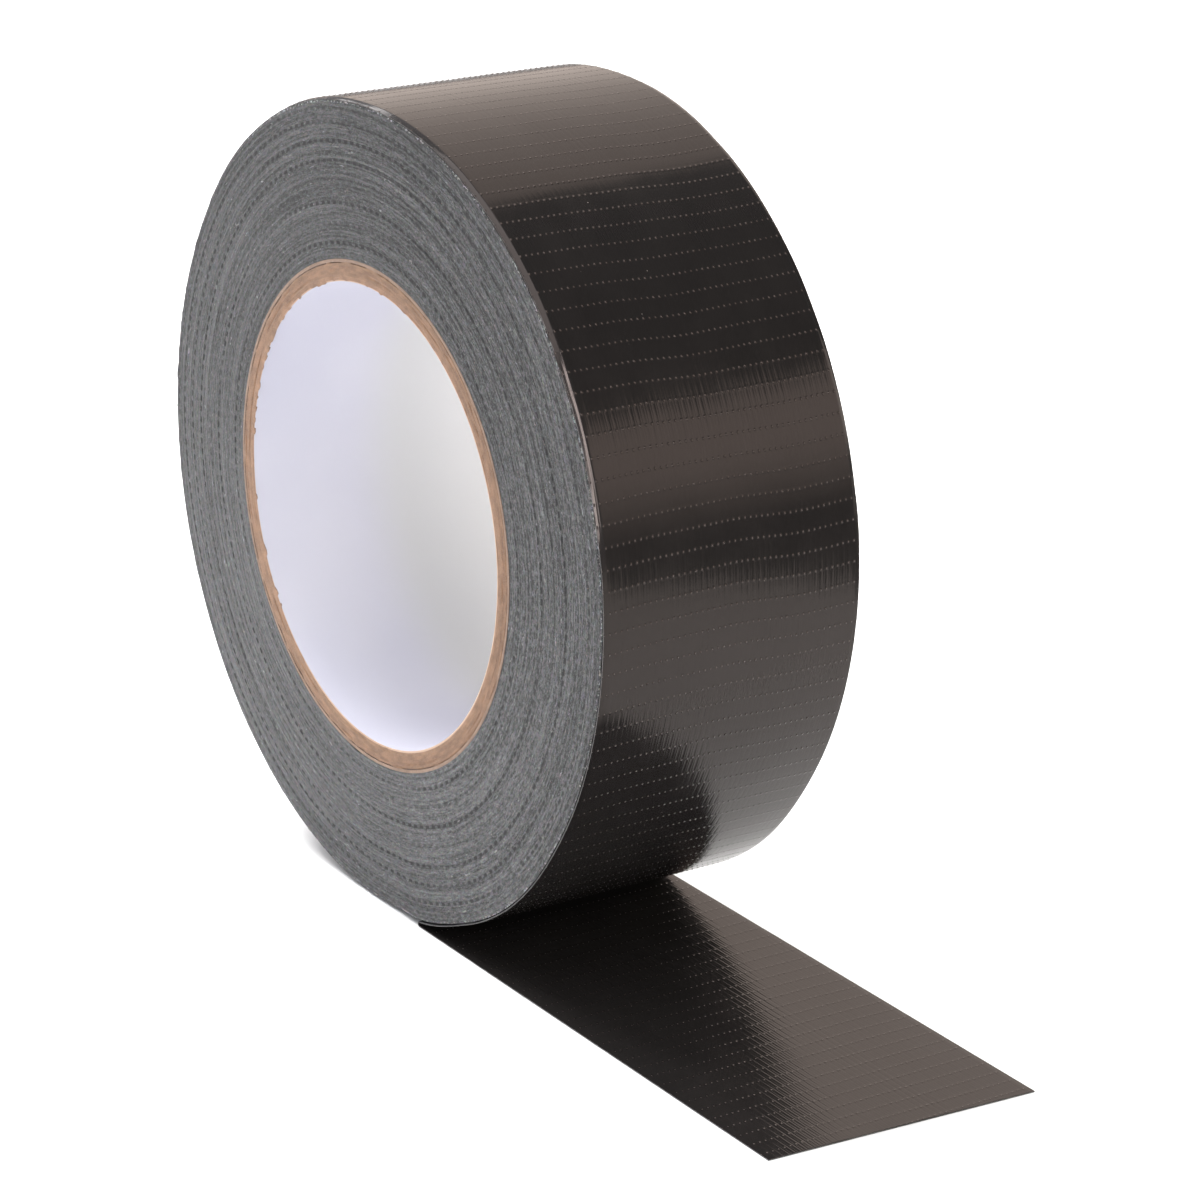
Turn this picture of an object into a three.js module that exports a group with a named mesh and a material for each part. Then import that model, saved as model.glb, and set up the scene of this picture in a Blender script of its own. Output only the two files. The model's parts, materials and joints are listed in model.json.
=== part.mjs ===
// Duct tape roll standing on its edge. The free end is peeled off, folded back on itself and laid
// flat on the floor with its film side up.
// Millimetres, +Z up. +Y runs along the roll's axis and +X is the way the free end lies.
// The origin is on the floor, under the roll's axis, at the middle of the tape's width.
import * as THREE from "three";

// Driving dimensions
const TAPE_WIDTH = 47;
const ROLL_RADIUS = 66.5; // to the outer film of the last turn
const CORE_BORE_RADIUS = 38.1; // a 3 inch core
const LINER_THICKNESS = 0.35;
const PLY_THICKNESS = 0.55;
const PLY_COUNT = 5;
const CORE_WRAP_THICKNESS = 0.5;
const TURN_BANDS = 8; // groups of about fifteen wound turns
const GLUE_LINE = 0.02; // left open between rings that are stuck together
const TAIL_REACH = 113; // from under the axis to the middle of the cut end
const TAIL_END_SKEW = 2.9; // how much further the back corner of the cut end reaches
const TAIL_PIECES = 10; // rigid pieces that the flexible free end is divided into
const TAIL_PIECE_GAP = 0.1;

// The three layers of the tape, from the adhesive face to the film face
const TAPE_THICKNESS = 0.2;
const LAYERS = {
  adhesive: { from: 0, to: 0.08 },
  scrim: { from: 0.09, to: 0.13 },
  film: { from: 0.14, to: TAPE_THICKNESS },
};

// The fold where the free end turns back under the roll
const FOLD_ANGLE = 12; // degrees from straight down, towards +X
const LIFT_ANGLE = 21; // where the last turn starts to leave the roll
const FOLD_STANDOFF = 0.75; // how far the last turn stands off the roll at the fold
const FOLD_CLEARANCE = 0.6; // from the bend's centre to the first rigid piece
const WRAP_CLEARANCE = 0.25; // between the roll and the free end laid back on it
const TURN_START_ANGLE = 14.5; // where the last turn begins, just under the fold

// Facets: every ring has the same ones, with a flat at the bottom to stand on
const FACETS = 60;
const FACET = (2 * Math.PI) / FACETS;
const FOLD_ARC_STEPS = 8;

const finish = (color, roughness) =>
  new THREE.MeshStandardMaterial({ color, roughness, metalness: 0 });

const linerPaper = finish(0xdcdce2, 0.45);
const kraftBoard = finish(0xa08468, 0.9);
const kraftWrap = finish(0xb39a80, 0.85);
const woundTape = finish(0x6c6d6f, 0.85);
const tapeLayers = {
  adhesive: finish(0x55565a, 0.6),
  scrim: finish(0xb9b6ae, 0.95),
  film: finish(0x141414, 0.28),
};

const radians = THREE.MathUtils.degToRad;

// A solid ring around the roll's axis. The radii are to the flats.
function ring(name, inner, outer, material) {
  const toCorner = 1 / Math.cos(FACET / 2);
  const half = TAPE_WIDTH / 2;
  const profile = [
    [inner, -half],
    [outer, -half],
    [outer, half],
    [inner, half],
    [inner, -half],
  ].map(([radius, along]) => new THREE.Vector2(radius * toCorner, along));
  const mesh = new THREE.Mesh(new THREE.LatheGeometry(profile, FACETS, FACET / 2), material);
  mesh.name = name;
  mesh.position.z = ROLL_RADIUS;
  return mesh;
}

// The core: a smooth white liner, plies of kraft board and an outer kraft wrap.
function makeCore() {
  const pieces = [{ name: "core_liner", thickness: LINER_THICKNESS, material: linerPaper }];
  for (let ply = 1; ply <= PLY_COUNT; ply += 1) {
    pieces.push({ name: `core_ply_${ply}`, thickness: PLY_THICKNESS, material: kraftBoard });
  }
  pieces.push({ name: "core_wrap", thickness: CORE_WRAP_THICKNESS, material: kraftWrap });
  const core = new THREE.Group();
  let radius = CORE_BORE_RADIUS;
  for (const { name, thickness, material } of pieces) {
    core.add(ring(name, radius, radius + thickness - GLUE_LINE, material));
    radius += thickness;
  }
  return { core, outerRadius: radius };
}

// The wound tape under the last turn, as nested bands of turns.
function makeWoundTape(coreRadius) {
  const wound = new THREE.Group();
  const bandDepth = (ROLL_RADIUS - TAPE_THICKNESS - coreRadius) / TURN_BANDS;
  for (let band = 0; band < TURN_BANDS; band += 1) {
    const inner = coreRadius + band * bandDepth;
    wound.add(ring(`tape_turns_${band + 1}`, inner, inner + bandDepth - GLUE_LINE, woundTape));
  }
  return wound;
}

// A point at an angle from straight down, positive towards +X, in the plane of the roll's side.
function atAngle(radius, angle) {
  return new THREE.Vector2(radius * Math.sin(angle), ROLL_RADIUS - radius * Math.cos(angle));
}

// The bend that turns the last turn back into the free end, seen from the side.
function foldShape() {
  const corner = atAngle(ROLL_RADIUS / Math.cos(FACET / 2), radians(LIFT_ANGLE));
  const crease = atAngle(ROLL_RADIUS + FOLD_STANDOFF, radians(FOLD_ANGLE));
  const slope = Math.atan2(corner.y - crease.y, corner.x - crease.x);
  const outward = new THREE.Vector2(Math.sin(slope), -Math.cos(slope));
  const innerRadius = (crease.y - TAPE_THICKNESS) / (1 + Math.cos(slope));
  const centre = crease.clone().addScaledVector(outward, innerRadius);
  return { slope, crease, outward, innerRadius, centre };
}

const fold = foldShape();

// The line that a face inside the tape follows round the last turn and through the fold.
// depth is the distance from the adhesive face.
function lastTurnLine(depth) {
  const flatRadius = ROLL_RADIUS - TAPE_THICKNESS + depth;
  const cornerRadius = flatRadius / Math.cos(FACET / 2);
  const startAngle = radians(TURN_START_ANGLE);
  const startFlat = Math.round(startAngle / FACET) * FACET;
  const line = [atAngle(flatRadius / Math.cos(startAngle - startFlat), startAngle)];
  const lastCorner = radians(LIFT_ANGLE) - 2 * Math.PI;
  const corners = Math.round((startFlat - FACET / 2 - lastCorner) / FACET);
  for (let i = 0; i <= corners; i += 1) {
    line.push(atAngle(cornerRadius, startFlat - FACET / 2 - i * FACET));
  }
  const bendRadius = fold.innerRadius + TAPE_THICKNESS - depth;
  const firstTurn = Math.PI / 2 + fold.slope;
  const lastTurn = (3 * Math.PI) / 2;
  for (let i = 0; i <= FOLD_ARC_STEPS; i += 1) {
    const turn = firstTurn + ((lastTurn - firstTurn) * i) / FOLD_ARC_STEPS;
    const reach = new THREE.Vector2(Math.cos(turn), Math.sin(turn)).multiplyScalar(bendRadius);
    line.push(fold.centre.clone().add(reach));
  }
  return line;
}

// The last turn and its fold, as one strip for each layer of the tape.
function makeLastTurn() {
  const turn = new THREE.Group();
  for (const [layer, { from, to }] of Object.entries(LAYERS)) {
    const outline = [...lastTurnLine(from), ...lastTurnLine(to).reverse()];
    const geometry = new THREE.ExtrudeGeometry(new THREE.Shape(outline), {
      depth: TAPE_WIDTH,
      bevelEnabled: false,
    });
    const mesh = new THREE.Mesh(geometry, tapeLayers[layer]);
    mesh.name = `last_turn_${layer}`;
    mesh.rotation.x = Math.PI / 2;
    mesh.position.y = TAPE_WIDTH / 2;
    turn.add(mesh);
  }
  return turn;
}

// Where the free end bends. Turned back, its pieces are the sides of a polygon around the roll.
function tailBends() {
  const { x, y } = fold.centre;
  const wrapRadius = ROLL_RADIUS / Math.cos(FACET / 2) + WRAP_CLEARANCE;
  const centreDistance = Math.hypot(x, ROLL_RADIUS - y);
  const beforeTouch = Math.sqrt(centreDistance ** 2 - (wrapRadius + y) ** 2);
  const length = (TAIL_REACH - x - beforeTouch) / (TAIL_PIECES - 0.5);
  const bends = [];
  for (let i = 0; i < TAIL_PIECES; i += 1) {
    bends.push(x + beforeTouch + (i + 0.5) * length);
  }
  return bends;
}

// The free end on the floor: each rigid piece has its own film, scrim and adhesive.
function makeTail() {
  const tail = new THREE.Group();
  const half = TAPE_WIDTH / 2;
  const bends = tailBends();
  bends.forEach((end, i) => {
    const isLast = i === bends.length - 1;
    const start = i === 0 ? fold.centre.x + FOLD_CLEARANCE : bends[i - 1] + TAIL_PIECE_GAP / 2;
    const frontEnd = isLast ? end - TAIL_END_SKEW / 2 : end - TAIL_PIECE_GAP / 2;
    const backEnd = isLast ? end + TAIL_END_SKEW / 2 : end - TAIL_PIECE_GAP / 2;
    const outline = new THREE.Shape([
      new THREE.Vector2(start, -half),
      new THREE.Vector2(frontEnd, -half),
      new THREE.Vector2(backEnd, half),
      new THREE.Vector2(start, half),
    ]);
    const number = String(i + 1).padStart(2, "0");
    for (const [layer, { from, to }] of Object.entries(LAYERS)) {
      const geometry = new THREE.ExtrudeGeometry(outline, {
        depth: to - from,
        bevelEnabled: false,
      });
      const mesh = new THREE.Mesh(geometry, tapeLayers[layer]);
      mesh.name = `tail_${layer}_${number}`;
      mesh.position.z = from;
      tail.add(mesh);
    }
  });
  return tail;
}

const { core, outerRadius } = makeCore();
const roll = new THREE.Group();
roll.add(core, makeWoundTape(outerRadius), makeLastTurn(), makeTail());

export default roll;
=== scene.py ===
import json
import math

import bpy
import numpy as np
from mathutils import Matrix, Vector


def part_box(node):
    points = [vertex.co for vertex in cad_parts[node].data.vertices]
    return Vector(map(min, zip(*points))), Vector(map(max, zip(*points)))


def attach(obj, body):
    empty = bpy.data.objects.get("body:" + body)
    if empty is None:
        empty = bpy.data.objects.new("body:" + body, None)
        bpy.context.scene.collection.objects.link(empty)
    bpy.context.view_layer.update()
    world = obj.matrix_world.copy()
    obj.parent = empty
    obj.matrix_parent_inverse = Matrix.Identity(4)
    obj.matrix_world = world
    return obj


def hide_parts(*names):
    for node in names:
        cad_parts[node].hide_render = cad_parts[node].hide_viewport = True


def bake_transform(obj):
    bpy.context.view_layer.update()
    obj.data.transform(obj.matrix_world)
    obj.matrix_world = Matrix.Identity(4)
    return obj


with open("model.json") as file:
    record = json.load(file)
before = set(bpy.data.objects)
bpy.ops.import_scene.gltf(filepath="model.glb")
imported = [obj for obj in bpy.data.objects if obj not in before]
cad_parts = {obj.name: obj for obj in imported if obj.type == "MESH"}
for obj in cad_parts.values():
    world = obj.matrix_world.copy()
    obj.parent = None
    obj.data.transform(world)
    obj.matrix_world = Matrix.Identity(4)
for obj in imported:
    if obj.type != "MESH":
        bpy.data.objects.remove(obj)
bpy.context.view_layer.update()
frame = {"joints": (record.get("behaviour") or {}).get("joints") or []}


# ---------------------------------------------------------------- sizes, in metres

def ring_radius(node):
    """A ring node's outer radius. It stands on a flat, so its height is twice that."""
    low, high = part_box(node)
    return (high.z - low.z) / 2


def find_joint(name):
    """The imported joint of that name."""
    return next(joint for joint in frame["joints"] if joint["name"] == name)


ROLL_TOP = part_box("last_turn_film")[1]
ROLL_RADIUS = ROLL_TOP.z / 2
HALF_WIDTH = ROLL_TOP.y
LINER_THICKNESS = 0.00033
LINER_SUNK = 0.00012  # how far the liner's cut edge lies inside the board's
LINER_GRAY_PAINTED_LIGHT = (-0.006, 0.006)  # where, from front to back, its painted light turns from lavender to gray
LINER_PALE_PAINTED_LIGHT = (0.004, 0.022)  # and where the gray turns paler, as painted light on the back half of the bore
GLUE_LINE = 0.00002
PLY_SUNK = (0.00004, 0.00004, 0.00003, 0.00004, 0.00004)
AROUND = 480  # a ring's points round the axis
CORE_NODES = ["core_liner"] + [f"core_ply_{i}" for i in range(1, 6)] + ["core_wrap"]
BAND_NODES = [f"tape_turns_{i}" for i in range(1, 9)]
BORE_RADIUS = ring_radius("core_liner") - LINER_THICKNESS
CORE_RADIUS = ring_radius("core_wrap")

# The tape's layers, as heights above its adhesive face
TAPE_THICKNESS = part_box("tail_film_05")[1].z
LAYERS = {
    layer: (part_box(f"tail_{layer}_05")[0].z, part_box(f"tail_{layer}_05")[1].z)
    for layer in ("adhesive", "scrim", "film")
}

# The fold under the roll and the free end's bends
HINGE = Vector(find_joint("tail_peel")["pos_m"])
FOLD_RADIUS = HINGE.z - TAPE_THICKNESS
FOLD_ANGLE = math.radians(12)  # from straight down, towards +X
FOLD_SLOPE = math.radians(20)
FOLD_STANDOFF = 0.00075
TURN_START = math.radians(374.5)
BENDS = [find_joint(f"tail_curl_{i:02d}")["pos_m"][0] for i in range(2, 11)]
PIECE_LENGTH = BENDS[1] - BENDS[0]
CUT_SLANT = 0.0029  # how much further the cut end reaches at the back than at the front
CUT_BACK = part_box("tail_film_10")[1].x
CUT_FRONT = CUT_BACK - CUT_SLANT

# The weave that shows through the film
WEFT_PITCH = PIECE_LENGTH / 3
WARP_COUNT = 45
WARP_PITCH = 2 * HALF_WIDTH / WARP_COUNT
RIB_HEIGHT = 0.0000085
KNOT_HEIGHT = 0.000068

# How the wound roll differs from a true circle
CORE_OFFSET = (-0.0011, -0.00075)
BULGES = [(-57, 2, 24, 0.0008), (120, 12, 18, 0.0004)]  # middle, half width and ramp in degrees, height
UNDER_FILL = 0.0006  # the wound turns sag with the last one just before the fold
LAST_TURN_SHIFT = 0.00022  # the last turn has been laid a little to the back
EDGE_BEND = 0.0007  # the width of the film's edge that bends down over the wound turns
EDGE_DROP = 0.00030
RIM_BEVEL = 0.00022  # how far the wound turns' own edge is pressed down under it


# ---------------------------------------------------------------- small numeric helpers

def smooth(t):
    """0 below 0, 1 above 1 and a smooth step between."""
    t = np.clip(t, 0, 1)
    return t * t * (3 - 2 * t)


def noise_field(seed, rows, columns):
    """A smooth random field from -1 to 1. It repeats along its columns; both inputs run from 0 to 1."""
    grid = np.random.default_rng(seed).uniform(-1, 1, (rows + 1, columns))

    def field(row, column):
        r = np.clip(row, 0, 1) * rows
        c = np.mod(column, 1) * columns
        r0 = np.minimum(r.astype(int), rows - 1)
        c0 = np.floor(c).astype(int) % columns
        fr = smooth(r - r0)
        fc = smooth(c - np.floor(c))
        c1 = (c0 + 1) % columns
        near = grid[r0, c0] * (1 - fc) + grid[r0, c1] * fc
        far = grid[r0 + 1, c0] * (1 - fc) + grid[r0 + 1, c1] * fc
        return near * (1 - fr) + far * fr

    return field


def bulge(angle):
    """How far the roll's outside stands out from a circle at an angle from +X."""
    total = np.zeros_like(angle)
    for middle, half, ramp, height in BULGES:
        away = np.abs((np.degrees(angle) - middle + 180) % 360 - 180)
        total += height * smooth((half + ramp - away) / ramp)
    return total


def roll_point(radius, angle):
    """x and z of a point in the roll, with its slightly off-centre core and uneven outside."""
    share = np.clip((radius - CORE_RADIUS) / (ROLL_RADIUS - CORE_RADIUS), 0, 1)
    past = (np.degrees(angle) + 90) % 360
    under = UNDER_FILL * smooth((26 - past) / 14) * smooth((past - 7) / 4)
    out = radius + share * (bulge(angle) + share * under)
    x = out * np.cos(angle) + (1 - share) * CORE_OFFSET[0]
    z = ROLL_RADIUS + out * np.sin(angle) + (1 - share) * CORE_OFFSET[1]
    return x, z


# ---------------------------------------------------------------- mesh helpers

def surface_normals(points, rows, columns):
    """Unit normals of a grid of points, by differences that allow for its uneven spacing."""
    along = np.gradient(points, rows, axis=0, edge_order=2)
    across = np.gradient(points, columns, axis=1, edge_order=2)
    normal = np.cross(along, across)
    return normal / np.linalg.norm(normal, axis=-1, keepdims=True)


def make_piece(name, points, polygons, material, attribute=None, normals=None):
    """An object from points and arrays of polygons that each have the same number of corners.

    normals are for the corners of the first polygons, and the others get their own.
    """
    mesh = bpy.data.meshes.new(name)
    mesh.vertices.add(len(points))
    mesh.vertices.foreach_set("co", np.asarray(points, np.float32).ravel())
    corners = np.concatenate([np.asarray(group, np.int32).ravel() for group in polygons])
    sizes = np.concatenate([np.full(len(group), len(group[0]), np.int32) for group in polygons])
    mesh.loops.add(len(corners))
    mesh.loops.foreach_set("vertex_index", corners)
    mesh.polygons.add(len(sizes))
    mesh.polygons.foreach_set("loop_start", np.concatenate([[0], np.cumsum(sizes)[:-1]]).astype(np.int32))
    mesh.update(calc_edges=True)
    mesh.polygons.foreach_set("use_smooth", sizes == 4)
    if attribute is not None:
        layer = mesh.attributes.new("lay", "FLOAT_VECTOR", "POINT")
        layer.data.foreach_set("vector", np.asarray(attribute, np.float32).ravel())
    mesh.set_sharp_from_angle(angle=math.radians(40))
    if normals is not None:
        given = np.zeros((len(corners), 3))
        given[:len(normals)] = normals
        mesh.normals_split_custom_set(given)
    mesh.materials.append(material)
    piece = bpy.data.objects.new(name, mesh)
    bpy.context.scene.collection.objects.link(piece)
    return piece


def ring_piece(name, inner, outer, steps, around, relief, material, rim_material=None, lip=None, bevel=0.0):
    """A closed ring round the roll's axis.

    relief(radius, angle, side) is how far its side faces are sunk, and lip(angle) is how far its
    inner edge reaches inwards past the bore at the front. rim_material is for its outer face, whose
    edges are pressed down by bevel.
    """
    angle = np.arange(around) * (2 * math.pi / around)
    face = np.linspace(inner, outer - bevel, steps)
    along = np.linspace(EDGE_BEND - HALF_WIDTH, HALF_WIDTH - EDGE_BEND, 5)
    radius = np.concatenate([face, np.full(len(along), outer), face[::-1], np.full(len(along), inner)])
    rest = np.concatenate([np.full(steps, -HALF_WIDTH), along, np.full(steps, HALF_WIDTH), along[::-1]])
    count = len(radius)
    r, a = np.meshgrid(radius, angle, indexing="ij")
    y = np.repeat(rest[:, None], around, 1)
    front, back = slice(0, steps), slice(steps + len(along), 2 * steps + len(along))
    y[front] += relief(r[front], a[front], 0)
    y[back] -= relief(r[back], a[back], 1)
    nominal = r.copy()
    if lip is not None:
        r[0] -= lip(angle, 0)
        r[2 * steps + len(along) - 1] -= lip(angle, 1)
    x, z = roll_point(r, a)
    points = np.stack([x, y, z], -1).reshape(-1, 3)
    i, j = np.meshgrid(np.arange(count), np.arange(around), indexing="ij")
    i1, j1 = (i + 1) % count, (j + 1) % around
    quads = np.stack([i * around + j, i1 * around + j, i1 * around + j1, i * around + j1], -1)
    lay = np.stack([np.cos(a), np.sin(a), nominal], -1).reshape(-1, 3)
    piece = make_piece(name, points, [quads.reshape(-1, 4)], material, lay)
    if rim_material is not None:
        piece.data.materials.append(rim_material)
        index = ((i >= steps - 1) & (i < steps + len(along))).astype(np.int32)
        piece.data.polygons.foreach_set("material_index", index.ravel())
    return piece


def tape_path(s):
    """x, z and the film side's normal on the line that the film face follows.

    s is the length along the tape from the fold: positive on the floor, negative back through the
    fold and round the roll.
    """
    arc = FOLD_RADIUS * (math.pi - FOLD_SLOPE)
    turn = 1.5 * math.pi - np.clip(-s, 0, arc) / FOLD_RADIUS
    x = HINGE.x + FOLD_RADIUS * np.cos(turn) + np.maximum(s, 0)
    z = HINGE.z + FOLD_RADIUS * np.sin(turn)
    nx, nz = -np.cos(turn), -np.sin(turn)
    past = FOLD_ANGLE + (-s - arc) / ROLL_RADIUS
    angle = past - math.pi / 2
    lift = FOLD_STANDOFF * smooth((math.radians(26) - past) / math.radians(14))
    radius = ROLL_RADIUS + bulge(angle) + lift
    on_roll = -s > arc
    x = np.where(on_roll, radius * np.cos(angle), x)
    z = np.where(on_roll, ROLL_RADIUS + radius * np.sin(angle), z)
    nx = np.where(on_roll, np.cos(angle), nx)
    nz = np.where(on_roll, np.sin(angle), nz)
    return x, z, nx, nz


ARC_LENGTH = FOLD_RADIUS * (math.pi - FOLD_SLOPE)
LAST_TURN_LENGTH = ARC_LENGTH + (TURN_START - FOLD_ANGLE) * ROLL_RADIUS
FIRST_WEFT = BENDS[0] - PIECE_LENGTH / 2 - HINGE.x + WEFT_PITCH / 2
row_wander = noise_field(11, 14, 6)
hump = noise_field(12, 60, 9)
rib_strength = noise_field(13, 110, WARP_COUNT)
edge_wave = noise_field(14, 90, 2)


def off_roll(s):
    """0 on the roll and 1 on the floor, changing over the fold."""
    return smooth((s + 0.012) / 0.012)


def film_relief(s, y, knot_height=KNOT_HEIGHT):
    """Height of the film over its flat lie: ribs over the warp, knots where the yarns cross."""
    row = np.round((s - FIRST_WEFT) / WEFT_PITCH) * WEFT_PITCH + FIRST_WEFT
    column = np.round((y + HALF_WIDTH) / WARP_PITCH - 0.5)
    middle = (column + 0.5) * WARP_PITCH - HALF_WIDTH
    ribs = RIB_HEIGHT * np.cos((y - middle) * 2 * math.pi / WARP_PITCH)
    ribs = ribs * (1 + 0.8 * rib_strength(s * 1.9 + 0.9, y / (2 * HALF_WIDTH)))
    knots = np.exp(-(((s - row) / 0.0002) ** 2) - ((y - middle) / 0.00016) ** 2)
    waves = hump(s * 2.2 + 0.93, y / (2 * HALF_WIDTH) * 0.8)
    return ribs + knot_height * knots + 0.00002 * waves * (1 - 0.6 * off_roll(s))


def tape_points(s, y, height):
    """Points of the tape at a length s, a place y across it and a height over its adhesive face."""
    wander = row_wander(s * 1.9 + 0.9, y / (2 * HALF_WIDTH) * 0.6)
    held = smooth((np.abs(s) - 0.004) / 0.02) * smooth((0.09 - s) / 0.03)
    held *= smooth((s + LAST_TURN_LENGTH) / 0.02)
    since = s - (BENDS[0] - PIECE_LENGTH / 2 - HINGE.x)
    seam = np.abs(since - np.round(since / PIECE_LENGTH) * PIECE_LENGTH)
    held *= np.where(s > 0.003, 1 - np.exp(-((seam / 0.001) ** 2)), 1)
    x, z, nx, nz = tape_path(s + 0.0005 * wander * held)
    edge = np.clip(1 - (HALF_WIDTH - np.abs(y)) / EDGE_BEND, 0, 1)
    drop = EDGE_DROP * (1 + 0.25 * edge_wave(s * 1.9 + 0.9, np.sign(y) * 0.25))
    droop = edge * drop * (0.15 + 0.85 * smooth((-s - 0.100) / 0.008))
    reach = height - TAPE_THICKNESS - droop
    shift = LAST_TURN_SHIFT * (1 - smooth((s + 0.06) / 0.06))
    return np.stack([x + nx * reach, y + shift, z + nz * reach], -1)


def strip_piece(name, rows, columns, low, high, material, relief=None, skew=None):
    """A closed strip of one layer of the tape. columns are for its film side, and its other side is
    plain. skew(s, y) moves the cut end's points along the tape."""
    n, m = len(rows), len(columns)
    s, y = np.meshgrid(rows, columns, indexing="ij")
    if skew is not None:
        s = skew(s, y)
    height = np.full_like(s, high)
    even = height
    if relief is not None:
        even = height + relief(s, y, 0)
        height = height + relief(s, y)
    upper = tape_points(s, y, height)
    normals = surface_normals(tape_points(s, y, even), rows, columns).reshape(-1, 3)
    ends = [0, m - 1]
    lower = tape_points(s[:, ends], y[:, ends], np.full((n, 2), low))
    points = np.concatenate([upper.reshape(-1, 3), lower.reshape(-1, 3)])
    lay = np.concatenate([
        np.stack([s, y, np.ones_like(s)], -1).reshape(-1, 3),
        np.stack([s[:, ends], y[:, ends], np.zeros((n, 2))], -1).reshape(-1, 3),
    ])
    a, b = np.meshgrid(np.arange(n - 1), np.arange(m - 1), indexing="ij")
    at = a * m + b
    top = np.stack([at, at + m, at + m + 1, at + 1], -1).reshape(-1, 4)
    k = np.arange(n - 1)
    left, right = n * m + 2 * k, n * m + 2 * k + 1
    walls = np.concatenate([
        np.stack([left, left + 2, (k + 1) * m, k * m], -1),
        np.stack([k * m + m - 1, (k + 1) * m + m - 1, right + 2, right], -1),
        np.stack([left, right, right + 2, left + 2], -1),
    ])
    start = np.concatenate([np.arange(m), [n * m + 1, n * m]])
    last = (n - 1) * m
    end = np.concatenate([np.arange(last, last + m), [n * m + 2 * n - 1, n * m + 2 * n - 2]])[::-1]
    return make_piece(name, points, [np.concatenate([top, walls]), start[None], end[None]], material, lay,
                      normals[top.ravel()])


# ---------------------------------------------------------------- material helpers

class Shader:
    """A material's nodes, with short ways to add them. A number, tuple or socket can be an input."""

    def __init__(self, name=None, tree=None):
        self.tree = tree
        if tree is None:
            self.material = bpy.data.materials.new(name)
            self.material.use_nodes = True
            self.tree = self.material.node_tree
            self.surface = self.tree.nodes["Principled BSDF"]

    def add(self, kind, inputs=(), output=0, **settings):
        node = self.tree.nodes.new(kind)
        for key, value in settings.items():
            setattr(node, key, value)
        for key, value in dict(inputs).items():
            self.put(node.inputs[key], value)
        return node.outputs[output]

    def put(self, socket, value):
        if isinstance(value, bpy.types.NodeSocket):
            self.tree.links.new(value, socket)
        elif isinstance(value, tuple) and len(value) == 3 and socket.type == "RGBA":
            socket.default_value = (*value, 1)
        else:
            socket.default_value = value

    def math(self, operation, a, b=0.0, c=0.0):
        return self.add("ShaderNodeMath", {0: a, 1: b, 2: c}, operation=operation)

    def lay(self):
        """The piece's own coordinates: (cos, sin, radius) on a ring and (along, across, side) on tape."""
        return self.add("ShaderNodeAttribute", output="Vector", attribute_name="lay")

    def split(self, vector):
        node = self.tree.nodes.new("ShaderNodeSeparateXYZ")
        self.put(node.inputs[0], vector)
        return node.outputs

    def join(self, x, y, z):
        return self.add("ShaderNodeCombineXYZ", {0: x, 1: y, 2: z})

    def stretch(self, vector, x, y, z):
        return self.add("ShaderNodeVectorMath", {0: vector, 1: (x, y, z)}, operation="MULTIPLY")

    def noise(self, vector, scale=1.0, detail=2.0, roughness=0.5, twist=0.0, color=False):
        inputs = {"Vector": vector, "Scale": scale, "Detail": detail, "Roughness": roughness}
        inputs["Distortion"] = twist
        return self.add("ShaderNodeTexNoise", inputs, output="Color" if color else 0)

    def spots(self, vector, size):
        """0 to 1 from the middle of scattered cells outwards."""
        return self.add("ShaderNodeTexVoronoi", {"Vector": vector, "Scale": size}, output="Distance")

    def band(self, value, low, high, start=0.0, end=1.0):
        """value from low..high onto start..end, smoothly and held at the ends."""
        inputs = {"Value": value, 1: low, 2: high, 3: start, 4: end}
        return self.add("ShaderNodeMapRange", inputs, interpolation_type="SMOOTHSTEP")

    def mix(self, share, a, b):
        node = self.tree.nodes.new("ShaderNodeMix")
        node.data_type = "RGBA"
        self.put(node.inputs[0], share)
        self.put(node.inputs[6], a)
        self.put(node.inputs[7], b)
        return node.outputs[2]

    def bump(self, height, distance):
        return self.add("ShaderNodeBump", {"Height": height, "Distance": distance, "Strength": 1.0})

    def from_middle(self, value, pitch, offset):
        """The distance from the nearest middle of repeats that are a pitch apart."""
        place = self.math("FRACT", self.math("ADD", self.math("DIVIDE", value, pitch), offset))
        return self.math("MULTIPLY", self.math("ABSOLUTE", self.math("SUBTRACT", place, 0.5)), pitch)

    def off_roll(self, along, on_roll, on_floor):
        """on_roll on the roll and on_floor on the free end, changing over the fold."""
        return self.band(along, -0.002, 0.01, on_roll, on_floor)

    def finish(self, **values):
        for key, value in values.items():
            self.put(self.surface.inputs[key.replace("_", " ")], value)
        return self.material


# ---------------------------------------------------------------- materials

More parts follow.
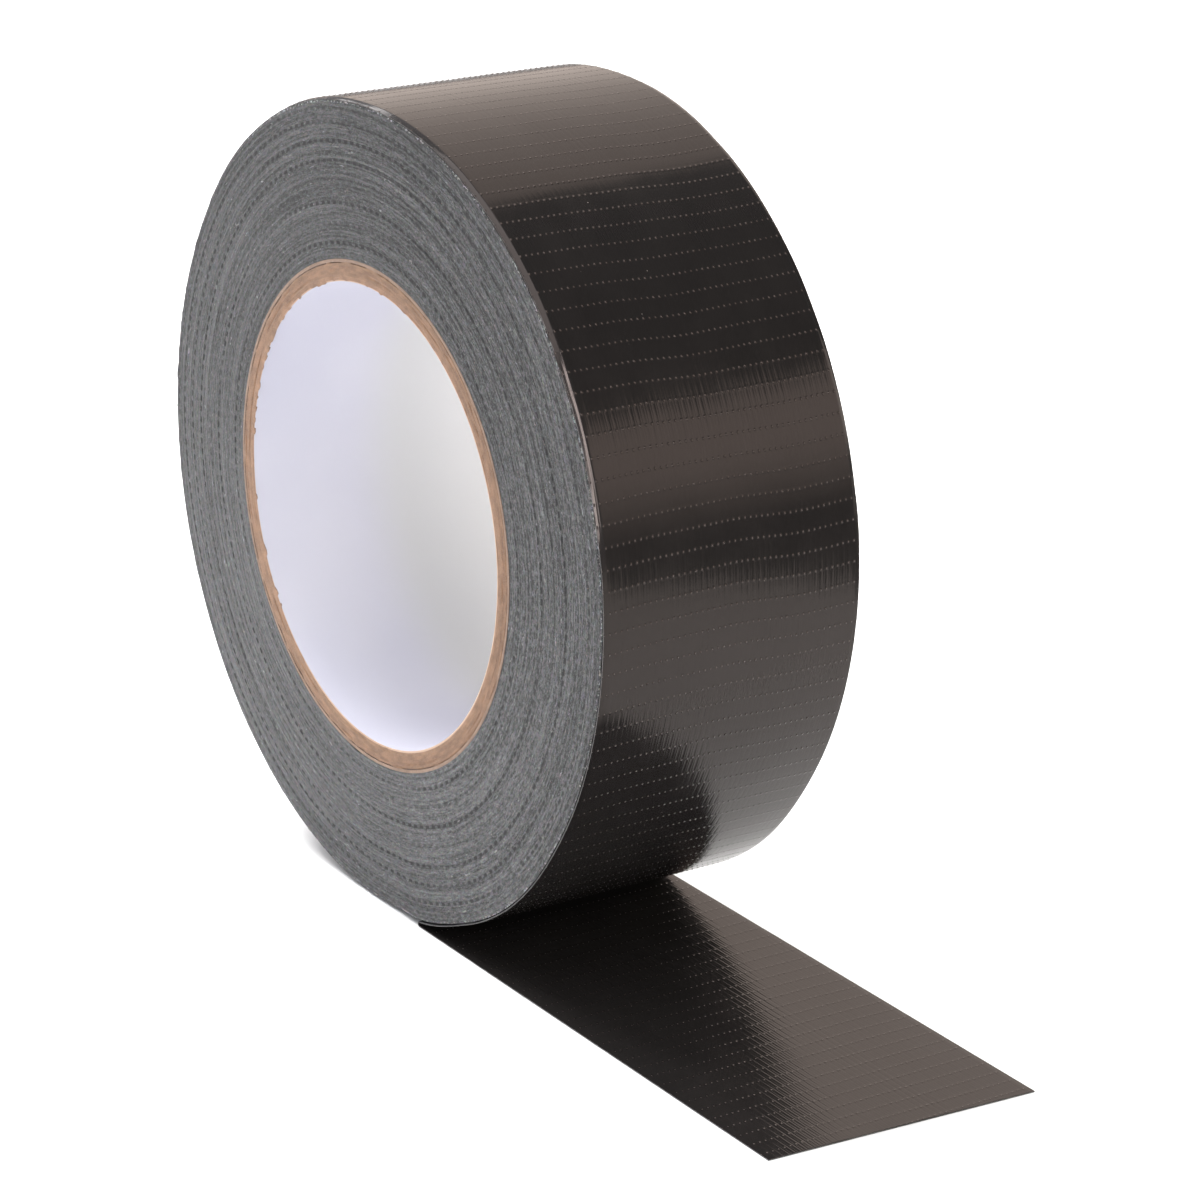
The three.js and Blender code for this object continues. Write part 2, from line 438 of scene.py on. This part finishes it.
def film_material(name):
    """Black polyethylene film: glossy, with the net's ribs and knots showing through."""
    sh = Shader(name)
    lay = sh.lay()
    along, across, _ = sh.split(lay)
    # The painted knots fall half a warp pitch from the raised ones
    row_away = sh.from_middle(sh.math("SUBTRACT", along, FIRST_WEFT), WEFT_PITCH, 100.5)
    column_away = sh.from_middle(across, WARP_PITCH, 100.0)
    knot = sh.math("MULTIPLY", sh.band(row_away, 0.0, 0.00028, 1, 0),
                   sh.band(column_away, 0.0, 0.00024, 1, 0))
    streaks = sh.noise(sh.stretch(lay, 160, 4200, 1), detail=3)
    grain = sh.noise(sh.stretch(lay, 5200, 5200, 1), detail=2)
    patches = sh.noise(sh.stretch(lay, 90, 140, 1), detail=2)
    dust = sh.band(sh.spots(sh.stretch(lay, 420, 420, 1), 1.0), 0.02, 0.045, 1, 0)
    dust = sh.math("MULTIPLY", dust, sh.band(sh.noise(sh.stretch(lay, 37, 53, 1)), 0.5, 0.66))
    color = sh.mix(patches, (0.0115, 0.0104, 0.0102), (0.0160, 0.0144, 0.0140))
    knot_tone = sh.math("MULTIPLY", knot, sh.off_roll(along, 0.6, 0.25))
    color = sh.mix(knot_tone, color, (0.050, 0.036, 0.030))
    color = sh.mix(sh.math("MULTIPLY", dust, 0.7), color, (0.30, 0.26, 0.24))
    roughness = sh.math("ADD", sh.band(patches, 0.3, 0.7, 0.09, 0.13), sh.math("MULTIPLY", streaks, 0.06))
    roughness = sh.math("ADD", roughness, sh.math("MULTIPLY", knot, 0.2))
    height = sh.math("ADD", sh.math("MULTIPLY", streaks, 0.0000022), sh.math("MULTIPLY", grain, 0.0000009))
    seen = sh.band(sh.noise(sh.stretch(lay, 150, 420, 1), detail=2), 0.35, 0.65, 0.45, 1.0)
    raised = sh.math("MULTIPLY", sh.math("MULTIPLY", knot, seen), sh.off_roll(along, 0.00009, 0.00005))
    height = sh.math("ADD", height, raised)
    groove = sh.band(column_away, WARP_PITCH / 2 - 0.00025, WARP_PITCH / 2)
    groove = sh.math("MULTIPLY", groove, sh.off_roll(along, 0.000006, 0.000014))
    height = sh.math("SUBTRACT", height, groove)
    ridge = sh.band(row_away, 0.0, 0.0005, 1, 0)
    ridge = sh.math("MULTIPLY", ridge, sh.off_roll(along, 0.000004, 0.000008))
    height = sh.math("ADD", height, ridge)
    normal = sh.bump(height, 1.0)
    sh.surface.inputs["IOR"].default_value = 1.42
    sh.surface.inputs["Specular Tint"].default_value = (0.90, 0.75, 0.70, 1)
    return sh.finish(Base_Color=color, Roughness=roughness, Normal=normal)


def wound_edge_material(name):
    """The cut edges of the wound turns: gray adhesive with cotton ends, in fine rings and dashes, with
    painted light and shade across the face.
    """
    sh = Shader(name)
    lay = sh.lay()
    cosine, sine, radius = sh.split(lay)
    turn = sh.math("DIVIDE", sh.math("ARCTAN2", sine, cosine), 2 * math.pi)
    rings = sh.noise(sh.stretch(lay, 1.1, 1.1, 2100), detail=3, roughness=0.6)
    streaks = sh.noise(sh.stretch(lay, 34, 34, 3000), detail=3, roughness=0.6, twist=0.4)
    flecks = sh.noise(sh.stretch(lay, 135, 135, 4300), detail=3, roughness=0.7, twist=0.9)
    soft = sh.noise(sh.stretch(lay, 2, 2, 110), detail=1)
    fuzz = sh.math("MULTIPLY", sh.math("SUBTRACT", streaks, 0.5), 3.0)
    fuzz = sh.math("MULTIPLY_ADD", sh.math("SUBTRACT", flecks, 0.5), 4.1, fuzz)
    # Painted raking light: the grain's contrast is painted stronger towards +X, where the light grazes the
    # face.
    value = sh.math("MULTIPLY_ADD", fuzz, sh.band(cosine, -0.5, 0.9, 0.85, 1.5), 1.0)
    value = sh.math("MULTIPLY_ADD", sh.math("SUBTRACT", rings, 0.5), 3.2, value)
    value = sh.math("MULTIPLY_ADD", sh.math("SUBTRACT", soft, 0.5), 0.5, value)
    # Painted shade: darker towards the top and towards +X, lighter towards the bottom and -X, as the light
    # falls on the face.
    value = sh.math("MULTIPLY_ADD", sh.math("MULTIPLY_ADD", sine, 2.3, cosine), -0.10, value)
    value = sh.math("MULTIPLY", sh.math("MAXIMUM", value, 0.10), 0.0455)
    pale = sh.band(sh.noise(sh.stretch(lay, 40, 40, 2900), detail=2, twist=1.2), 0.64, 0.76)
    value = sh.math("MULTIPLY_ADD", pale, 0.12, value)
    dash_pit_and_shade = dash_pits_and_shade(sh, radius, turn, lay)
    # Painted shade: the sunk dashes are painted nearly black.
    value = sh.math("MULTIPLY", value, sh.math("MULTIPLY_ADD", dash_pit_and_shade, -0.95, 1.0))
    rim = sh.band(radius, ROLL_RADIUS - 0.0009, ROLL_RADIUS - 0.0005)
    frayed = sh.band(sh.noise(sh.stretch(lay, 130, 130, 2600), detail=2), 0.50, 0.66, 0.0, 0.26)
    value = sh.math("MULTIPLY_ADD", rim, frayed, value)
    tone = sh.math("MULTIPLY", value, 0.99)
    color = sh.join(tone, sh.math("MULTIPLY", value, 0.985), value)
    tint = sh.noise(sh.stretch(lay, 60, 60, 5000), detail=1, color=True)
    tint = sh.add("ShaderNodeVectorMath", {0: tint, 1: (0.5, 0.5, 0.5)}, operation="ADD")
    color = sh.mix(0.75, color, sh.add("ShaderNodeVectorMath", {0: color, 1: tint}, operation="MULTIPLY"))
    speck = sh.spots(sh.stretch(lay, 70, 70, 900), 1.0)
    warm = sh.math("MULTIPLY", sh.band(speck, 0.03, 0.07, 1, 0), 0.5)
    color = sh.mix(warm, color, (0.42, 0.17, 0.12))
    height = sh.math("MULTIPLY_ADD", flecks, 0.6, sh.math("SUBTRACT", streaks, dash_pit_and_shade))
    return sh.finish(Base_Color=color, Roughness=0.72, Normal=sh.bump(height, 0.00006))


# Each ring's distance outside the core, its number of dashes and its strength, which sets both how deep its
# dashes sink and how dark their painted shade is
DASH_RINGS = [
    (0.0026, 146, 1.0), (0.0056, 156, 0.4), (0.0088, 167, 1.0), (0.0118, 177, 0.45),
    (0.0152, 188, 1.0), (0.0183, 198, 0.95), (0.0212, 208, 0.85), (0.0232, 215, 0.45),
]
DASH_WANDER = 0.0005


def dash_pits_and_shade(sh, radius, turn, lay):
    """Rings of short dashes, where a turn's yarn ends have pulled in: sunk in the bump, and darkened with
    painted shade.
    """
    wander = sh.noise(sh.stretch(lay, 1.3, 1.3, 0), detail=1)
    radius = sh.math("MULTIPLY_ADD", sh.math("SUBTRACT", wander, 0.5), -2 * DASH_WANDER, radius)
    fade = sh.band(sh.noise(sh.stretch(lay, 3.1, 3.1, 240), detail=1), 0.34, 0.54, 0.55, 1)
    total = 0.0
    for depth, count, strength in DASH_RINGS:
        away = sh.math("ABSOLUTE", sh.math("SUBTRACT", radius, CORE_RADIUS + depth))
        line = sh.band(away, 0.00018, 0.00038, strength, 0)
        step = sh.math("FRACT", sh.math("MULTIPLY_ADD", turn, float(count), 50.0))
        gap = sh.band(sh.math("ABSOLUTE", sh.math("SUBTRACT", step, 0.5)), 0.19, 0.34, 1, 0.12)
        total = sh.math("ADD", sh.math("MULTIPLY", line, gap), total)
    return sh.math("MULTIPLY", total, fade)


def kraft_material(name, light, dark, seed):
    """Brown board: matted fibres that run round the ply, with blotches and dark specks."""
    sh = Shader(name)
    lay = sh.add("ShaderNodeVectorMath", {0: sh.lay(), 1: (seed, seed * 0.7, seed * 0.1)}, operation="ADD")
    fibre = sh.noise(sh.stretch(lay, 150, 150, 4600), detail=4, roughness=0.7, twist=0.6)
    blotch = sh.noise(sh.stretch(lay, 16, 16, 600), detail=3)
    grit = sh.noise(sh.stretch(lay, 300, 300, 7000), detail=2)
    color = sh.mix(sh.band(blotch, 0.3, 0.7), dark, light)
    color = sh.mix(sh.band(fibre, 0.4, 0.75, 0, 0.45), color, tuple(1.3 * c for c in light))
    color = sh.mix(sh.band(grit, 0.5, 0.8, 0, 0.5), color, tuple(1.7 * c for c in light))
    color = sh.mix(sh.band(grit, 0.26, 0.46, 0.45, 0), color, tuple(0.5 * c for c in dark))
    height = sh.math("ADD", fibre, sh.math("MULTIPLY", grit, 0.5))
    sh.surface.inputs["Sheen Weight"].default_value = 0.15
    return sh.finish(Base_Color=color, Roughness=0.88, Normal=sh.bump(height, 0.00008))


def liner_material(name):
    """Smooth white paper, faintly cloudy and specked, with painted light: lavender at the front, turning
    gray and then paler towards the back.
    """
    sh = Shader(name)
    place = sh.add("ShaderNodeTexCoord", output="Object")
    cloud = sh.noise(place, scale=60, detail=4)
    fine = sh.noise(place, scale=2600, detail=3)
    color = sh.mix(sh.band(cloud, 0.3, 0.7), (0.462, 0.460, 0.535), (0.480, 0.477, 0.548))
    _, across, _ = sh.split(place)
    # Painted light: the paper is coloured from front to back as the light on it falls, lavender, then gray,
    # then paler on the back half.
    color = sh.mix(sh.band(across, *LINER_GRAY_PAINTED_LIGHT), color, (0.464, 0.463, 0.482))
    color = sh.mix(sh.band(across, *LINER_PALE_PAINTED_LIGHT), color, (0.565, 0.560, 0.580))
    cut = sh.band(sh.math("ABSOLUTE", across), HALF_WIDTH - 0.0002, HALF_WIDTH - 0.00013)
    color = sh.mix(cut, color, (0.42, 0.285, 0.20))
    speck = sh.band(sh.spots(place, 90), 0.02, 0.05, 1, 0)
    speck = sh.math("MULTIPLY", speck, sh.band(sh.noise(place, scale=45), 0.52, 0.6, 0, 0.55))
    color = sh.mix(speck, color, (0.34, 0.27, 0.20))
    return sh.finish(Base_Color=color, Roughness=0.55, Normal=sh.bump(fine, 0.00001))


def net_lines(sh, lay):
    """0 on the net's weft and warp yarns, and 1 half-way between them."""
    along, across, _ = sh.split(lay)
    rows = sh.math("ABSOLUTE", sh.math("SINE", sh.math("MULTIPLY", along, math.pi / WEFT_PITCH)))
    columns = sh.math("ABSOLUTE", sh.math("SINE", sh.math("MULTIPLY", across, math.pi / WARP_PITCH)))
    return rows, columns


def adhesive_material(name):
    """Gray natural-rubber adhesive: satin, with the net's squares pressed into it."""
    sh = Shader(name)
    lay = sh.lay()
    rows, columns = net_lines(sh, lay)
    net = sh.math("MINIMUM", sh.band(rows, 0.0, 0.25), sh.band(columns, 0.0, 0.5))
    drag = sh.noise(sh.stretch(lay, 200, 1500, 1), detail=3)
    mottle = sh.noise(sh.stretch(lay, 400, 400, 1), detail=4)
    color = sh.mix(sh.band(mottle, 0.3, 0.7), (0.016, 0.016, 0.017), (0.034, 0.034, 0.036))
    color = sh.mix(sh.math("MULTIPLY", sh.math("SUBTRACT", 1.0, net), 0.35), color, (0.07, 0.07, 0.07))
    height = sh.math("ADD", net, sh.math("MULTIPLY", drag, 0.5))
    roughness = sh.band(drag, 0.3, 0.7, 0.36, 0.6)
    return sh.finish(Base_Color=color, Roughness=roughness, Normal=sh.bump(height, 0.00003))


def scrim_material(name):
    """Off-white cotton net: a plain weave of thin yarns."""
    sh = Shader(name)
    lay = sh.lay()
    rows, columns = net_lines(sh, lay)
    yarn = sh.math("MAXIMUM", sh.band(rows, 0.0, 0.3, 1, 0), sh.band(columns, 0.0, 0.6, 1, 0))
    fluff = sh.noise(sh.stretch(lay, 3000, 3000, 1), detail=4)
    color = sh.mix(yarn, (0.06, 0.059, 0.058), (0.20, 0.19, 0.175))
    color = sh.mix(sh.band(fluff, 0.4, 0.8, 0, 0.4), color, (0.30, 0.29, 0.27))
    height = sh.math("ADD", yarn, fluff)
    sh.surface.inputs["Sheen Weight"].default_value = 0.3
    return sh.finish(Base_Color=color, Roughness=0.9, Normal=sh.bump(height, 0.00004))


def floor_material(name):
    """A plain pale surface with the faintest unevenness."""
    sh = Shader(name)
    place = sh.add("ShaderNodeTexCoord", output="Object")
    cloud = sh.noise(place, scale=3, detail=3)
    color = sh.mix(cloud, (0.74, 0.74, 0.74), (0.76, 0.76, 0.76))
    return sh.finish(Base_Color=color, Roughness=0.7, Normal=sh.bump(cloud, 0.0005))


# ---------------------------------------------------------------- the core

def ply_relief(seed, depth, opening=0.0):
    """A ply's cut edge: fibrous, with its own height and a few torn places. opening is how deep the
    ply has parted from the one outside it."""
    long_wave = noise_field(seed, 1, 17)
    fibres = noise_field(seed + 50, 6, 420)
    tears = noise_field(seed + 90, 1, 61)

    def relief(radius, angle, side):
        turn = angle / (2 * math.pi) + 0.37 * side
        across = (radius - radius.min()) / (np.ptp(radius) + 1e-9)
        fray = 0.00001 * fibres(across, turn)
        torn = 0.00010 * smooth((tears(across * 0, turn) - 0.45) / 0.4) * np.sin(math.pi * across)
        parted = opening * smooth((across - 0.72) / 0.2) * smooth((tears(across * 0, turn * 3) + 0.5) / 0.6)
        return depth + 0.00001 * long_wave(across * 0, turn) + fray + torn + parted

    return relief


def torn_lip(seed, reach):
    """Small teeth of board that stand over the liner's edge, more on one side than the other."""
    teeth = noise_field(seed, 1, 230)
    patches = noise_field(seed + 1, 1, 13)

    def lip(angle, side):
        turn = angle / (2 * math.pi) + 0.41 * side
        zero = np.zeros_like(turn)
        where = smooth(0.35 - 0.8 * np.cos(angle + 0.3) + 0.4 * patches(zero, turn))
        return reach * (0.35 * where + where * np.clip(1.4 * teeth(zero, turn) - 0.3, 0, 1))

    return lip


def make_core():
    kraft = [
        kraft_material(f"kraft_board_{i + 1}", light, dark, 3.0 * i)
        for i, (light, dark) in enumerate([
            ((0.218, 0.118, 0.064), (0.122, 0.062, 0.030)),
            ((0.194, 0.102, 0.052), (0.109, 0.054, 0.025)),
            ((0.198, 0.104, 0.054), (0.112, 0.056, 0.026)),
            ((0.189, 0.098, 0.050), (0.106, 0.052, 0.024)),
            ((0.198, 0.106, 0.055), (0.111, 0.055, 0.026)),
        ])
    ]
    wrap = kraft_material("kraft_wrap", (0.205, 0.130, 0.087), (0.140, 0.082, 0.052), 21.0)
    liner = liner_material("liner_paper")
    inner = BORE_RADIUS
    for number, node in enumerate(CORE_NODES):
        outer = ring_radius(node)
        if node == "core_liner":
            piece = ring_piece("core_liner_paper", inner, outer, 4, AROUND,
                               lambda r, a, side: np.full_like(r, LINER_SUNK), liner)
        elif node == "core_wrap":
            piece = ring_piece("core_outer_wrap", inner, outer, 5, AROUND, ply_relief(40, 0.00002), wrap)
        else:
            lip = torn_lip(70, 0.00062) if node == "core_ply_1" else None
            opening = 0.00035 if number == 5 else 0.0
            relief = ply_relief(number, PLY_SUNK[number - 1], opening)
            piece = ring_piece(f"core_board_{number}", inner, outer, 6, AROUND, relief,
                               kraft[number - 1], lip=lip)
        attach(piece, "roll")
        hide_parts(node)
        inner = outer + GLUE_LINE / 8


# ---------------------------------------------------------------- the wound tape

def wound_relief(number):
    """The cut edges of one band of turns: each turn at its own height, with frayed yarn ends."""
    steps = noise_field(200 + number, 15, 9)
    fray = noise_field(220 + number, 15, 160)
    hairs = noise_field(240 + number, 31, 480)
    slow = noise_field(260, 8, 5)

    def relief(radius, angle, side):
        turn = angle / (2 * math.pi) + 0.31 * side
        low, high = radius.min(), radius.max()
        across = (radius - low) / (high - low)
        whole = (radius - CORE_RADIUS) / (ROLL_RADIUS - CORE_RADIUS)
        inside = smooth(across / 0.07) * smooth((1 - across) / 0.07)
        rough = 0.00004 * steps(across, turn) + 0.00004 * fray(across, turn) + 0.00003 * hairs(across, turn)
        height = 0.00003 + 0.00007 * slow(whole, turn) + inside * rough
        for depth, count, strength in DASH_RINGS:
            away = np.abs(radius - CORE_RADIUS - depth)
            step = np.mod(turn * count, 1)
            gap = smooth((0.34 - np.abs(step - 0.5)) / 0.16)
            height += 0.00009 * strength * gap * smooth((0.00025 - away) / 0.00017)
        return np.maximum(height, -0.00005)

    return relief


def first_band_relief(radius, angle, side):
    """The innermost band, with the small gap that it leaves at the bottom of the core."""
    relief = wound_relief(1)(radius, angle, side)
    gap = smooth((math.radians(1.9) - np.abs(angle - math.radians(264))) / math.radians(1.2))
    near = smooth((CORE_RADIUS + 0.0004 - radius) / 0.0002)
    return relief + 0.0012 * gap * near


def last_band_relief(radius, angle, side):
    """The outermost band, whose rim is serrated by the yarn ends."""
    teeth = noise_field(300 + side, 1, 410)
    relief = wound_relief(8)(radius, angle, side)
    near = smooth((radius - radius.max() + 0.0004) / 0.0003)
    turn = angle / (2 * math.pi)
    return relief + near * 0.00012 * (1 + teeth(turn * 0, turn))


def make_wound_tape(film):
    edge = wound_edge_material("wound_tape_edges")
    inner = CORE_RADIUS + GLUE_LINE
    for number, node in enumerate(BAND_NODES, 1):
        outer = ring_radius(node)
        relief = wound_relief(number)
        if number == 1:
            relief = first_band_relief
        if number == len(BAND_NODES):
            relief = last_band_relief
        bevel = RIM_BEVEL if number == len(BAND_NODES) else 0.0
        piece = ring_piece(f"wound_turns_{number}", inner, outer, 20, AROUND, relief, edge, film,
                           bevel=bevel)
        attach(piece, "roll")
        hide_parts(node)
        inner = outer + GLUE_LINE


# ---------------------------------------------------------------- the last turn and the free end

def weft_rows(start, end):
    """Places along the tape for a strip's rows: four to each weft yarn, one of them on the yarn."""
    first = math.floor((start - FIRST_WEFT) / WEFT_PITCH) - 1
    last = math.ceil((end - FIRST_WEFT) / WEFT_PITCH) + 1
    middles = FIRST_WEFT + WEFT_PITCH * np.arange(first, last + 1)
    rows = (middles[:, None] + np.array([-0.0003, 0, 0.0003, WEFT_PITCH / 2])).ravel()
    bend = np.linspace(-ARC_LENGTH, 0, 13)
    if start < 0 < end or end == 0:
        rows = rows[(rows < -ARC_LENGTH - 0.0001) | (rows > 0.0001)]
        rows = np.concatenate([rows, bend])
    rows = rows[(rows > start + 0.00005) & (rows < end - 0.00005)]
    return np.sort(np.concatenate([[start], rows, [end]]))


def with_bent_edges(columns):
    """Columns across the tape, with extra ones where its two edges bend down."""
    inner = columns[np.abs(columns) < HALF_WIDTH - EDGE_BEND - 0.0001]
    bend = HALF_WIDTH - EDGE_BEND * np.array([1.02, 0.85, 0.4, 0.0])
    return np.sort(np.concatenate([inner, bend, -bend]))


FINE_COLUMNS = with_bent_edges(np.linspace(-HALF_WIDTH, HALF_WIDTH, 4 * WARP_COUNT + 1))
PLAIN_COLUMNS = with_bent_edges(np.linspace(-HALF_WIDTH, HALF_WIDTH, 9))
CUT_LINE = (CUT_FRONT + CUT_BACK) / 2 - HINGE.x


def cut_end(start):
    """Moves a strip's last rows onto the slanted cut, which the knife has left slightly uneven."""
    uneven = noise_field(500, 1, 90)

    def skew(s, y):
        share = np.clip((s - start) / (CUT_LINE - start), 0, 1)
        slant = (CUT_BACK - CUT_FRONT) * y / (2 * HALF_WIDTH)
        rough = 0.00006 * uneven(np.zeros_like(y), y * 9)
        return s + share * slant + share ** 4 * rough

    return skew


def make_tape(film, scrim, adhesive):
    materials = {"film": film, "scrim": scrim, "adhesive": adhesive}
    middles = [bend - PIECE_LENGTH / 2 for bend in BENDS] + [BENDS[-1] + PIECE_LENGTH / 2]
    starts = [0.0] + [middle - HINGE.x for middle in middles]
    for layer, (low, high) in LAYERS.items():
        fine = layer == "film"
        columns = FINE_COLUMNS if fine else PLAIN_COLUMNS
        relief = film_relief if fine else None
        rows = weft_rows(-LAST_TURN_LENGTH, 0.0)
        if not fine:
            rows = rows[::2] if len(rows) % 2 else np.append(rows[::2], rows[-1])
        turn = strip_piece(f"last_turn_{layer}_strip", rows, columns, low, high, materials[layer], relief)
        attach(turn, "roll")
        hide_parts(f"last_turn_{layer}")
        for number, start in enumerate(starts, 1):
            is_last = number == len(starts)
            end = CUT_LINE if is_last else starts[number]
            skew = cut_end(start) if is_last else None
            piece = strip_piece(f"free_end_{layer}_{number:02d}", weft_rows(start, end), columns, low, high,
                                materials[layer], relief, skew)
            if is_last:
                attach(piece, "tail_10")
                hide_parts("tail_" + layer + "_10")
            else:
                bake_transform(piece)
                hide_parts(f"tail_{layer}_{number:02d}")


# ---------------------------------------------------------------- camera, floor and light

CAMERA_AZIMUTH = math.radians(56.3)  # from -Y towards +X
CAMERA_ELEVATION = math.radians(19.75)
CAMERA_ROLL = math.radians(0.77)
CAMERA_TARGET = Vector((0.0304, 0, 0.0570))
CAMERA_DISTANCE = 0.6877
CAMERA_LENS = 130.7
CARD_HEIGHT = 0.085
FLOOR_LEVEL = -0.00005
FLOOR_REACH = 2.5
BACKDROP_RADIUS = 2.4
BACKDROP_HEIGHT = 3.0


def make_camera():
    outwards = math.cos(CAMERA_ELEVATION)
    back = Vector((math.sin(CAMERA_AZIMUTH) * outwards, -math.cos(CAMERA_AZIMUTH) * outwards,
                   math.sin(CAMERA_ELEVATION)))
    level = (-back).cross(Vector((0, 0, 1))).normalized()
    upright = back.cross(level)
    right = level * math.cos(CAMERA_ROLL) + upright * math.sin(CAMERA_ROLL)
    up = upright * math.cos(CAMERA_ROLL) - level * math.sin(CAMERA_ROLL)
    data = bpy.data.cameras.new("camera")
    data.lens = CAMERA_LENS
    data.sensor_width = 36
    data.clip_start = 0.01
    camera = bpy.data.objects.new("camera", data)
    bpy.context.scene.collection.objects.link(camera)
    turn = Matrix((right, up, back)).transposed().to_4x4()
    camera.matrix_world = Matrix.Translation(CAMERA_TARGET + back * CAMERA_DISTANCE) @ turn
    bpy.context.scene.camera = camera


def stage_panel(name, points, faces, material):
    mesh = bpy.data.meshes.new(name)
    mesh.from_pydata(points, [], faces)
    mesh.materials.append(material)
    panel = bpy.data.objects.new(name, mesh)
    bpy.context.scene.collection.objects.link(panel)
    return panel


def softbox(name, place, aim, width, height, power, color=(1, 1, 1), diffuse=True, glossy=True):
    """An area light. diffuse and glossy say which kinds of surface it reaches."""
    data = bpy.data.lights.new(name, "AREA")
    data.shape = "RECTANGLE"
    data.size = width
    data.size_y = height
    data.energy = power
    data.color = color
    light = bpy.data.objects.new(name, data)
    light.location = place
    light.rotation_euler = (Vector(aim) - Vector(place)).to_track_quat("-Z", "Y").to_euler()
    bpy.context.scene.collection.objects.link(light)
    light.visible_camera = False
    light.visible_diffuse = diffuse
    light.visible_glossy = glossy


def make_world():
    """A dim room with a pale wall behind the roll, a brighter one to its right, and a pale front."""
    world = bpy.data.worlds.new("studio")
    bpy.context.scene.world = world
    world.use_nodes = True
    sh = Shader(tree=world.node_tree)
    way = sh.add("ShaderNodeTexCoord", output="Generated")
    x, y, z = sh.split(way)
    level = sh.math("ARCTAN2", z, x)
    slant = sh.math("MULTIPLY_ADD", sh.math("SUBTRACT", y, 0.53), -1.2, level)
    behind = sh.band(slant, math.radians(105.6), math.radians(107))
    right = sh.math("MULTIPLY", sh.band(slant, math.radians(33), math.radians(35.5), 1, 0),
                    sh.band(level, math.radians(-4), math.radians(22)))
    deep = sh.band(y, 0.30, 0.42)
    front = sh.math("SUBTRACT", 1.0, deep)
    wall = sh.mix(behind, (0.035, 0.034, 0.036), (1.12, 0.96, 0.86))
    wall = sh.mix(right, wall, (1.88, 1.69, 1.58))
    color = sh.mix(front, wall, (0.44, 0.445, 0.47))
    sh.put(sh.tree.nodes["Background"].inputs["Color"], color)
    sh.tree.nodes["Background"].inputs["Strength"].default_value = 1.0


def make_backdrop():
    """A round paper wall, far out. It is only there to be seen, so it throws no light on the roll."""
    count = 72
    angles = [2 * math.pi * i / count for i in range(count)]
    rim = [(BACKDROP_RADIUS * math.cos(a), BACKDROP_RADIUS * math.sin(a)) for a in angles]
    points = [(*place, height) for height in (FLOOR_LEVEL, BACKDROP_HEIGHT) for place in rim]
    faces = [(i, (i + 1) % count, count + (i + 1) % count, count + i) for i in range(count)]
    paper = Shader("pale_backdrop").finish(Base_Color=(0.8, 0.8, 0.8), Roughness=1.0,
                                           Emission_Color=(1.0, 1.0, 1.0, 1.0), Emission_Strength=0.15)
    wall = stage_panel("backdrop", points, faces, paper)
    wall.visible_diffuse = False
    wall.visible_glossy = False
    wall.visible_transmission = False
    wall.visible_shadow = False


def make_stage():
    signs = ((-1, -1), (1, -1), (1, 1), (-1, 1))
    corners = [(FLOOR_REACH * i, FLOOR_REACH * j, FLOOR_LEVEL) for i, j in signs]
    stage_panel("floor", corners, [range(4)], floor_material("pale_floor"))
    black = Shader("black_card").finish(Base_Color=(0.012, 0.011, 0.011), Roughness=0.9)
    card_base = [(0.16, 0.12), (0.62, 0.28)]
    corners = [(*card_base[i], CARD_HEIGHT * up) for i, up in ((0, 0), (1, 0), (1, 1), (0, 1))]
    card = stage_panel("black_card", corners, [range(4)], black)
    card.visible_camera = False
    card.visible_diffuse = False
    card.visible_shadow = False
    softbox("key", (-0.7, -1.1, 0.8), (0.0, 0.0, 0.06), 1.0, 1.0, 1.5)
    softbox("low_fill", (-0.03, -0.18, 0.025), (-0.005, -0.02, 0.015), 0.3, 0.05, 0.155)
    softbox("overhead", (0.1, -0.26, 1.3), (0.05, 0.0, 0.0), 1.5, 1.1, 13.0)
    softbox("side", (1.1, -0.8, 0.5), (0.0, 0.0, 0.06), 0.5, 0.7, 3.0, (0.72, 0.80, 1.0))
    softbox("left_fill", (-0.95, -0.1, 0.5), (-0.1, 0.0, 0.0), 0.6, 0.6, 5.0)
    softbox("back_fill", (0.75, 0.80, 0.45), (0.0, 0.0, 0.065), 0.5, 0.5, 6.5, (1.0, 0.98, 0.78),
            glossy=False)
    softbox("behind", (-0.7, 0.35, 0.9), (-0.2, 0.0, 0.0), 0.8, 0.8, 8.0, glossy=False)
    softbox("near_fill", (-0.32, -0.02, 0.40), (-0.10, -0.07, 0.0), 0.3, 0.3, 4.8, glossy=False)
    softbox("strip", (1.08, -0.27, 0.66), (0.0, 0.0, 0.06), 0.17, 1.0, 7.5, diffuse=False)


# ---------------------------------------------------------------- build

bpy.context.scene.view_settings.view_transform = "Standard"
make_camera()
make_world()
make_stage()
make_backdrop()
FILM = film_material("tape_film")
make_core()
make_wound_tape(FILM)
make_tape(FILM, scrim_material("tape_scrim"), adhesive_material("tape_adhesive"))

bpy.context.view_layer.update()
